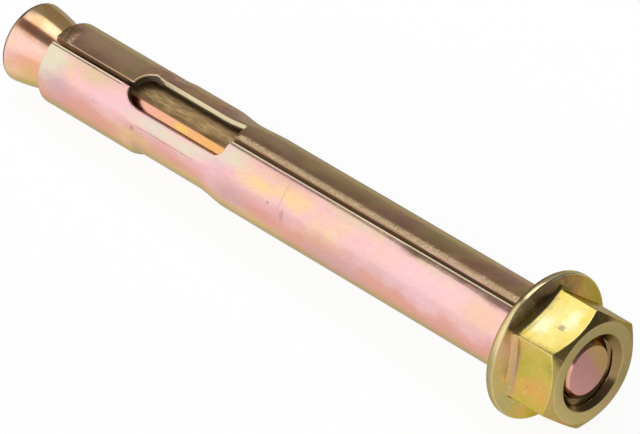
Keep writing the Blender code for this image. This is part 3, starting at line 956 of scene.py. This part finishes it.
def sleeve_film(place):
    """Pink, yellow and lilac clouds that turn orange and olive lower down, painted as the dimmer floor's
    reflection there, and an upper half darkened with painted shade, most beside the seam.
    """
    flat = unrolled(place, SLEEVE_RADIUS)
    along, around = split(flat)[:2]
    waver = add_waver(place, 1.5, WAVER_SIZE)
    from_top = scale_add(waver, ZONE_WAVER, add_math("ABSOLUTE", around))
    shift = remap(along, *MOUTH_STEP_RANGE, MOUTH_SEAM_SHIFT * SLEEVE_RADIUS, 0.0)
    around = add_math("SUBTRACT", around, shift)
    # upper: the upper half, which gets painted shade
    upper = multiply(remap(around, *UPPER_RANGE, 0.0, 0.9), remap(around, *BACK_RANGE))
    # The painted shade deepens beside the seam
    uneven = scale_add(waver, LIP_WAVER, around)
    lip_shade = multiply(remap(uneven, *LIP_RANGE, 0.0, 0.85), remap(along, *MOUTH_RANGE, 0.35, 1.0))
    colour = add_layers(film_clouds(place, SLEEVE_CLOUDS, SLEEVE_STOPS), [
        # Orange, then olive, painted on the underside as the dimmer floor's reflection
        (remap(from_top, *ORANGE_RANGE, 0.0, 0.9), ORANGE_ZONE),
        (remap(from_top, *OLIVE_RANGE, 0.0, 0.8), OLIVE_ZONE),
        (upper, blend(lip_shade, film_clouds(place, UPPER_CLOUDS, SHADED_TOP_STOPS), LIP_SHADE_BROWN))])
    return add_patches(colour, flat, waver, SLEEVE_RADIUS, SLEEVE_PATCHES)


def sleeve_material():
    """The sleeve's film, with pale rough cut edges partly painted as highlights, painted shade lines and seam
    shade, a streaky worked lip painted pale as a highlight and a speckled burr.
    """
    material, tree, place = start_plating("sleeve_plating", EDGE_TINT)
    marks = ("cut", "shade", "worked", "burr", "line")
    cut, shade, worked, burr, line = (add_mark(tree, name) for name in marks)
    specks = add_noise(place, 1.6, SPECK_SIZE, 4.0, 0.6)
    streaks = add_noise(place, 0.22, STREAK_SIZE, 3.0, 0.55)
    shade_lines = multiply(line, remap(specks, 0.35, 0.6, 1.0, 0.6))
    colour = add_layers(sleeve_film(place), [
        # Pale tan on the worked band is a painted highlight
        (remap(worked, 0.3, 0.8, 0.0, 0.75), WORKED_HIGHLIGHT_TAN),
        (burr, BURR_BROWN),
        (multiply(worked, remap(streaks, 0.36, 0.60, 0.85, 0.0)), BURR_BROWN),
        (multiply(burr, remap(specks, 0.40, 0.54, 0.8, 0.0)), LINE_COLOUR),
        # Painted shade in the seam and on the walls
        (shade, SEAM_SHADE_BROWN),
        # Bare cut metal and painted highlights
        (remap(cut, 0.2, 0.8, 0.0, 0.9), CUT_AND_HIGHLIGHT_COLOUR),
        # Painted shade lines
        (add_math("MAXIMUM", shade_lines, remap(line, 0.8, 1.0)), LINE_COLOUR)])
    rough_zone = add_math("MAXIMUM", worked, burr)
    roughness = scale_add(rough_zone, 0.08, add_smears(place, 0.17, 0.27))
    roughness = scale_add(cut, 0.22, roughness)
    shader, grain = finish_plating(place, colour, roughness)
    hammered = multiply(add_noise(place, 1.6, HAMMERED_SIZE, 4.0, 0.65), rough_zone)
    hammered = add_bump(hammered, HAMMERED_DEPTH)
    set_inputs(hammered, {"Normal": grain.outputs[0]})
    set_inputs(shader, {
        "Specular Tint": blend(rough_zone, EDGE_TINT, BURR_TINT),
        "Metallic": scale_add(shade, -0.6, 1.0), "Normal": hammered.outputs[0]})
    return material


# Plating of the bolt
BOLT_STOPS = [(0.2, (0.80, 0.66, 0.34)), (0.42, (0.96, 0.66, 0.42)), (0.60, (0.97, 0.58, 0.52)),
              (0.80, (0.80, 0.50, 0.50))]
# Painted shade on the shank under the sleeve, lighter olive over the top of the shank
SHANK_SHADE = (0.43, 0.25, 0.11)
SHANK_OLIVE = (0.80, 0.53, 0.25)
SHANK_SALMON = (0.93, 0.46, 0.33)
SHANK_GOLD = (0.92, 0.48, 0.17)
SHANK_YELLOW = (0.98, 0.62, 0.12)
CONE_PINK = (0.99, 0.64, 0.58)
CONE_ORANGE = (0.92, 0.45, 0.27)
CONE_OLIVE = (0.70, 0.52, 0.16)
CONE_CREAM = (0.86, 0.60, 0.36)
CONE_BRONZE = (0.70, 0.42, 0.16)
CONE_BROWN = (0.68, 0.31, 0.17)
CHAMFER_BROWN = (0.50, 0.32, 0.18)
END_ROSE = (0.80, 0.40, 0.36)
END_GOLD = (0.78, 0.52, 0.17)
BOLT_PATCHES = [
    (-2.6, 55, 4, 1.8, 0.8, CONE_PINK), (-2.2, 84, 3.2, 1.5, 0.85, CONE_ORANGE),
    (-2.4, 125, 3.4, 2, 0.9, CONE_OLIVE), (-3.5, 8, 4.4, 1.6, 0.85, CONE_CREAM),
    (-3, -17, 4.6, 1.4, 0.9, CONE_BRONZE), (-3.5, 26, 4.8, 0.9, 0.9, CONE_BROWN),
    (20.9, 40, 1.1, 0.4, 0.85, SHANK_YELLOW)]

# Distances along the bolt, round it or across its end between which a film comes in
SHANK_RANGE = (3.0 * MM, 5.0 * MM)
GOLD_RANGE = (16 * MM, 25 * MM)
SHADE_EDGE = radians(31.5) * SHANK_RADIUS
SHADE_EDGE_RANGE = (SHADE_EDGE + 0.08 * MM, SHADE_EDGE - 0.08 * MM)
SHADE_END_RANGE = (BOLT_END - 1.5 * MM, BOLT_END - 2.5 * MM)
SHANK_OLIVE_RANGE = (1.6 * MM, 0.9 * MM)
BOLT_END_RANGE = (BOLT_END - 0.3 * MM, BOLT_END - 0.1 * MM)
BOLT_CHAMFER_RANGE = (BOLT_END - 2.4 * MM, BOLT_END - 2.0 * MM)
CONE_RIM_RANGE = (CONE_END + 0.46 * MM, CONE_END + 0.26 * MM)
END_GOLD_RANGE = (0.6 * MM, 1.8 * MM)
BOLT_CLOUDS = 5.0 * MM
SHANK_WAVER = 0.5 * MM
END_WAVER = 0.8 * MM


def bolt_material():
    """Rosy gold on the cone, and on the shank a rough band darkened with painted shade, lighter olive over
    its top, that ends at a sharp edge.
    """
    material, tree, place = start_plating("bolt_plating", EDGE_TINT)
    flat = unrolled(place, SHANK_RADIUS)
    along, around = split(flat)[:2]
    across, up = split(place)[1:]
    waver = add_waver(place, 1.5, WAVER_SIZE)
    on_shank = remap(along, *SHANK_RANGE)
    shank = blend(remap(along, *GOLD_RANGE), SHANK_SALMON, SHANK_GOLD)
    colour = blend(on_shank, film_clouds(place, BOLT_CLOUDS, BOLT_STOPS), shank)
    colour = add_patches(colour, flat, waver, SHANK_RADIUS, BOLT_PATCHES)
    # Painted shade on the shank under the sleeve's upper lip
    reach = multiply(remap(around, *SHADE_EDGE_RANGE), remap(along, *SHADE_END_RANGE))
    shade = multiply(reach, on_shank)
    uneven = scale_add(waver, SHANK_WAVER, around)
    shade_film = blend(remap(uneven, *SHANK_OLIVE_RANGE), SHANK_SHADE, SHANK_OLIVE)
    rough = add_noise(place, 5.0, STREAK_SIZE, 5.0, 0.65)
    shade_film = blend(1.0, shade_film, remap(rough, 0.35, 0.65, 0.45, 1.0), "MULTIPLY")
    at_end = remap(along, *BOLT_END_RANGE)
    on_chamfer = multiply(remap(along, *BOLT_CHAMFER_RANGE, 0.0, 0.75), add_math("SUBTRACT", 1.0, at_end))
    to_gold = scale_add(waver, END_WAVER, scale_add(up, 0.5, across))
    colour = add_layers(colour, [
        (shade, shade_film),
        (at_end, END_ROSE),
        (remap(along, *CONE_RIM_RANGE, 0.0, 0.85), LINE_COLOUR),
        (on_chamfer, CHAMFER_BROWN),
        (multiply(at_end, remap(to_gold, *END_GOLD_RANGE, 0.0, 0.8)), END_GOLD)])
    roughness = scale_add(shade, 0.30, add_smears(place, 0.13, 0.20))
    finish_plating(place, colour, roughness, Metallic=scale_add(shade, -0.35, 1.0))
    return material


# Plating of the nut
NUT_TINT = (0.74, 0.68, 0.42)
NUT_STOPS = [(0.26, (0.46, 0.40, 0.09)), (0.38, (0.57, 0.46, 0.08)), (0.50, (0.65, 0.49, 0.09)),
             (0.60, (0.72, 0.48, 0.12)), (0.70, (0.76, 0.40, 0.15)), (0.84, (0.74, 0.40, 0.26))]
NUT_BROWN = (0.42, 0.27, 0.12)
# Painted shade in the bore and a painted dark reflection on the flange's slope
NUT_SHADE_DARK = (0.26, 0.16, 0.09)
NUT_ORANGE = (0.80, 0.42, 0.11)
NUT_GREEN = (0.50, 0.47, 0.07)
NUT_PALE = (0.72, 0.62, 0.24)
NUT_ROSE = (0.70, 0.40, 0.30)
NUT_RUST = (0.56, 0.34, 0.24)
NUT_WHITE = (0.86, 0.82, 0.56)
NUT_SMUDGE = (0.26, 0.22, 0.12)
NUT_FACE_TAN = (0.62, 0.51, 0.31)
SLOPE_OLIVE = (0.50, 0.38, 0.14)
SLOPE_GREEN = (0.42, 0.39, 0.17)
# Painted highlight on the flange rim's upper side and painted shade on its lower side
RIM_HIGHLIGHT_GOLD = (0.86, 0.72, 0.38)
RIM_SHADE_OLIVE = (0.42, 0.37, 0.19)
# Cream of the painted highlights on the nut's edges
HIGHLIGHT_CREAM = (0.98, 0.84, 0.52)
SCUFF_CREAM = (0.92, 0.84, 0.50)
SCUFF_OLIVE = (0.34, 0.28, 0.12)
NUT_PATCHES = [
    (78.5, 17, 3.2, 3.6, 0.8, NUT_PALE), (77.6, 70, 1.6, 1.8, 0.7, NUT_GREEN),
    (79.2, 90, 2, 1.2, 0.8, NUT_ORANGE), (76, 96, 1, 2.6, 0.7, NUT_ORANGE),
    (75.4, -30, 0.8, 2.6, 0.7, NUT_ORANGE), (75.6, 60, 0.8, 2, 0.6, NUT_ROSE),
    (76.6, 78, 0.5, 2.6, 0.85, NUT_RUST), (80.9, 130, 0.6, 4, 0.6, NUT_ORANGE),
    (77.6, 26, 1.1, 1.3, 0.6, NUT_WHITE), (80, 8, 0.9, 1.2, 0.6, NUT_WHITE),
    # The first patch on this line is a painted dark reflection on the flange's slope
    (75.4, 5, 1.1, 4.2, 0.95, NUT_SHADE_DARK), (79.6, 19, 0.42, 0.32, 0.75, NUT_SMUDGE),
    (79.5, 21.5, 0.95, 0.10, 0.5, NUT_SMUDGE), (75.2, 88, 0.9, 2.6, 0.6, SLOPE_OLIVE),
    (75.3, 112, 1, 2.8, 0.75, SLOPE_GREEN)]

# Radii, or distances along the nut or round it, between which a film comes in
RIM_RANGE = (FLANGE_RADIUS - 0.20 * MM, FLANGE_RADIUS - 0.06 * MM)
RIM_TOP_RANGE = (FLANGE_TOP - 0.05 * MM, FLANGE_TOP - 0.15 * MM)
# Where the rim's painted highlight gives way to painted shade, round the nut and towards the bearing face
RIM_SHADE_RANGE = (0.9 * NUT_RADIUS, 1.3 * NUT_RADIUS)
RIM_FOOT_SHADE_RANGE = (BEARING_FACE + 0.65 * MM, BEARING_FACE + 0.45 * MM)
FACE_RANGE = (NUT_END - 0.12 * MM, NUT_END - 0.04 * MM)
SINK_RANGE = (COUNTERSINK_RADIUS, COUNTERSINK_RADIUS - 0.12 * MM)
SINK_DEPTH_RANGE = (NUT_END - 3 * MM, NUT_END - 2 * MM)
# The painted highlight is strongest on top and weaker round the sides
HIGHLIGHT_RANGE = (0.85 * NUT_RADIUS, 1.3 * NUT_RADIUS)
NUT_CLOUDS = 3.4 * MM
NUT_WAVER_SIZE = 1.5 * MM
SCUFF_SIZE = 0.7 * MM


def nut_material():
    """Olive gold with orange and rosy tints, scuffed on its flats, with painted highlights on its edges,
    painted highlight and shade round its flange's rim, painted shade in its bore and a painted dark
    reflection on its flange.
    """
    material, tree, place = start_plating("nut_plating", NUT_TINT)
    x, y, z = split(place)
    flat = unrolled(place, NUT_RADIUS)
    around = split(flat)[1]
    radial = add_node("CombineXYZ", {"Y": y, "Z": z}).outputs[0]
    radius = vector_math("LENGTH", radial)
    waver = add_waver(place, 1.0, NUT_WAVER_SIZE)
    scuffs = add_noise(place, 1.0, SCUFF_SIZE, 5.0, 0.65, 0.6)
    # Painted highlight and shade round the flange's rim
    rim_light_and_shade = blend(remap(around, *RIM_SHADE_RANGE), RIM_HIGHLIGHT_GOLD, RIM_SHADE_OLIVE)
    rim_light_and_shade = blend(remap(x, *RIM_FOOT_SHADE_RANGE, 0.0, 0.85), rim_light_and_shade, NUT_BROWN)
    on_rim = multiply(remap(radius, *RIM_RANGE), remap(x, *RIM_TOP_RANGE, 0.0, 0.85))
    # Painted shade inside the bore beyond the countersink
    sunk_shade = multiply(remap(radius, *SINK_RANGE, 0.0, 0.85), remap(x, *SINK_DEPTH_RANGE))
    # Painted highlight on the nut's rounded edges
    wear = scale_add(waver, 0.7, add_mark(tree, "wear"))
    wear = multiply(remap(wear, 0.35, 0.95, 0.0, 0.8), remap(around, *HIGHLIGHT_RANGE, 1.0, 0.3))
    colour = film_clouds(place, NUT_CLOUDS, NUT_STOPS)
    colour = add_layers(add_patches(colour, flat, waver, NUT_RADIUS, NUT_PATCHES), [
        (remap(scuffs, 0.58, 0.68, 0.0, 0.25), SCUFF_CREAM),
        (remap(scuffs, 0.42, 0.32, 0.0, 0.35), SCUFF_OLIVE),
        (on_rim, rim_light_and_shade),
        (remap(x, *FACE_RANGE, 0.0, 0.55), NUT_FACE_TAN),
        (remap(add_mark(tree, "chamfer"), 0.3, 0.8, 0.0, 0.6), NUT_BROWN),
        (sunk_shade, NUT_SHADE_DARK),
        (wear, HIGHLIGHT_CREAM)])
    finish_plating(place, colour, remap(scuffs, 0.3, 0.7, 0.13, 0.26))
    return material


# Studio
FLOOR_SIZE = 6.0
FLOOR_DROP = 0.05 * MM
FLOOR_COLOUR = (0.86, 0.86, 0.86, 1.0)
WHITE_LEVEL = 1.08
WHITE_SHARE = 0.85
MIRRORED_IN_FRONT = 0.75
MIRRORED_BEHIND = 0.05
MIRRORED_RANGE = (10 * MM, -6 * MM)
DARK_BACK = (0.0, 0.9962, 0.0872)
DARK_RIGHT = (0.872, 0.0, 0.489)
DARK_TOP = (0.232, 0.825, 0.516)
BRIGHT_LEVEL = 1.05
DARK_LEVEL = 0.18
BACK_LEVEL = 0.34
RIGHT_LEVEL = 0.09
BRIGHT_END = 0.470
DARK_START = 0.497
DARK_END = 0.90
RIGHT_RANGE = (-0.1, 0.5)
SOFTBOX_PLACE = (-0.078, 0.128, 0.40)
SOFTBOX_WIDTH = 0.355
SOFTBOX_HEIGHT = 0.275
SOFTBOX_LEVEL = 1.5


def make_floor():
    """A plain pale floor that the camera sees as white, with the anchor's shadow on it."""
    bm = bmesh.new()
    bmesh.ops.create_grid(bm, x_segments=1, y_segments=1, size=FLOOR_SIZE / 2)
    mesh = bpy.data.meshes.new("floor")
    bm.to_mesh(mesh)
    bm.free()
    floor = add_object("floor", mesh)
    floor.location.z = -FLOOR_DROP
    material = bpy.data.materials.new("floor_paper")
    material.use_nodes = True
    tree = material.node_tree
    shader = tree.nodes[SHADER]
    set_inputs(shader, {"Base Color": FLOOR_COLOUR, "Roughness": 0.9, "Specular IOR Level": 0.0})
    rays = add_node("LightPath", {}, tree).outputs
    mirrored = add_math("ADD", rays["Is Glossy Ray"], rays["Is Transmission Ray"])
    depth = split(add_node("TexCoord", {}, tree).outputs["Object"])[1]
    # In reflections the floor glows white in front of the anchor and hardly behind it, painted light for the
    # metal to mirror
    in_front = remap(depth, *MIRRORED_RANGE, MIRRORED_BEHIND, MIRRORED_IN_FRONT)
    seen = add_math("MAXIMUM", multiply(rays["Is Camera Ray"], WHITE_SHARE), multiply(mirrored, in_front))
    white = add_node("Emission", {"Strength": WHITE_LEVEL}, tree)
    mix = add_node("MixShader", {0: seen, 1: shader.outputs[0], 2: white.outputs[0]})
    set_inputs(tree.nodes["Material Output"], {"Surface": mix.outputs[0]})
    mesh.materials.append(material)


def make_world():
    """A pale studio, bright in front and to the left, and dim above and behind."""
    world = bpy.data.worlds.new("studio")
    world.use_nodes = True
    bpy.context.scene.world = world
    tree = world.node_tree
    direction = add_node("TexCoord", {}, tree).outputs["Generated"]
    sides = (DARK_BACK, DARK_RIGHT, DARK_TOP)
    back, right, top = (vector_math("DOT_PRODUCT", direction, side) for side in sides)
    dark = add_math("MAXIMUM", back, add_math("MINIMUM", right, top))
    place = scale_add(dark, 0.5, 0.5)
    stops = [(BRIGHT_END, (BRIGHT_LEVEL,) * 3), (DARK_START, (DARK_LEVEL,) * 3)]
    ends = [(DARK_END, (level,) * 3) for level in (BACK_LEVEL, RIGHT_LEVEL)]
    left, far_right = (add_ramp(place, [*stops, end]) for end in ends)
    shade = blend(remap(split(direction)[0], *RIGHT_RANGE), left, far_right)
    set_inputs(tree.nodes["Background"], {"Color": shade})


def aim(viewer, place, target):
    """Puts a lamp or a camera at its place and turns it to a target."""
    viewer.location = place
    viewer.rotation_mode = "QUATERNION"
    viewer.rotation_quaternion = (Vector(target) - Vector(place)).to_track_quat("-Z", "Y")


def make_softbox():
    """A rectangular lamp overhead that shows at SOFTBOX_LEVEL in a mirror."""
    light = bpy.data.lights.new("overhead_softbox", "AREA")
    light.shape = "RECTANGLE"
    light.size = SOFTBOX_WIDTH
    light.size_y = SOFTBOX_HEIGHT
    light.energy = SOFTBOX_LEVEL * pi * SOFTBOX_WIDTH * SOFTBOX_HEIGHT
    aim(add_object("overhead_softbox", light), SOFTBOX_PLACE, (*SOFTBOX_PLACE[:2], 0.0))


def make_camera():
    """The photograph's camera, from its azimuth and elevation."""
    back = Vector((sin(CAMERA_AZIMUTH) * cos(CAMERA_ELEVATION),
                   -cos(CAMERA_AZIMUTH) * cos(CAMERA_ELEVATION), sin(CAMERA_ELEVATION)))
    right = Vector((cos(CAMERA_AZIMUTH), sin(CAMERA_AZIMUTH), 0.0))
    up = back.cross(right)
    centre = Vector((0.0, 0.0, CENTRE_HEIGHT))
    data = bpy.data.cameras.new("camera")
    data.lens = CAMERA_LENS
    data.sensor_width = CAMERA_SENSOR
    data.clip_start = CAMERA_CLIP
    camera = add_object("camera", data)
    aim(camera, centre + back * CAMERA_DISTANCE, centre + right * AIM_RIGHT - up * AIM_DOWN)
    bpy.context.scene.camera = camera


make_camera()
make_floor()
make_world()
make_softbox()
make_sleeve(sleeve_material())
make_bolt(bolt_material())
make_nut(nut_material())
bpy.context.scene.view_settings.view_transform = "Standard"
